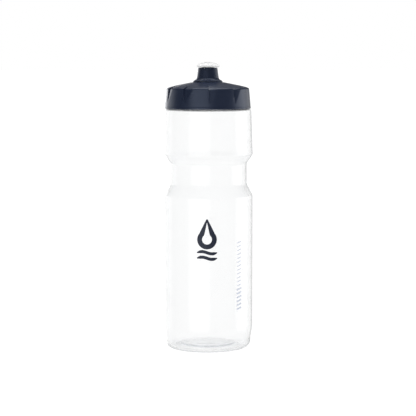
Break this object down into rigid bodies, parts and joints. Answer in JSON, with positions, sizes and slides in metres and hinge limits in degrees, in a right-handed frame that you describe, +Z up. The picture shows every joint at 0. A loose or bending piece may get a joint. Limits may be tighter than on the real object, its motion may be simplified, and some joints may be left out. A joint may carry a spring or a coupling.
{
  "type": "bicycle water bottle",
  "caption": "Translucent squeeze bottle for a bicycle cage, with a grip waist, a notched dark screw cap and a push-pull drinking nozzle.",
  "frame": {"origin": "on the bottle's axis, in the plane that it stands on", "axes": "+Z up along the axis to the nozzle; -Y is the front, where the printed mark is; +X to the right seen from the front"},
  "size_m": [0.0742, 0.0742, 0.2365],
  "materials": {
    "bottle_body": "translucent moulded, soft satin gloss",
    "cap_shell": "fine moulded satin",
    "cap_gasket": "matt",
    "stopper_post": "moulded satin",
    "nozzle_sleeve": "moulded satin",
    "nozzle_o_ring": "matt",
    "mouthpiece": "soft translucent, satin"
  },
  "bodies": {
    "bottle": {"bottle_body": "bottle_body"},
    "gasket": {"cap_gasket": "cap_gasket"},
    "cap": {"cap_shell": "cap_shell", "stopper_post": "stopper_post"},
    "nozzle": {"nozzle_sleeve": "nozzle_sleeve", "nozzle_o_ring": "nozzle_o_ring", "mouthpiece": "mouthpiece"}
  },
  "joints": [
    {"name": "cap_lift", "type": "slide", "parent": "bottle", "child": "gasket", "axis": [0, 0, 1], "range_m": [0, 0.016]},
    {"name": "cap_turn", "type": "hinge", "parent": "gasket", "child": "cap", "pos_m": [0, 0, 0.205], "axis": [0, 0, 1], "range_deg": [0, 1440]},
    {"name": "nozzle_pull", "type": "slide", "parent": "cap", "child": "nozzle", "axis": [0, 0, 1], "range_m": [0, 0.0065]}
  ],
  "couplings": [
    {"joint": "cap_lift", "follows": "cap_turn", "m_per_rad": 0.00063662}
  ]
}
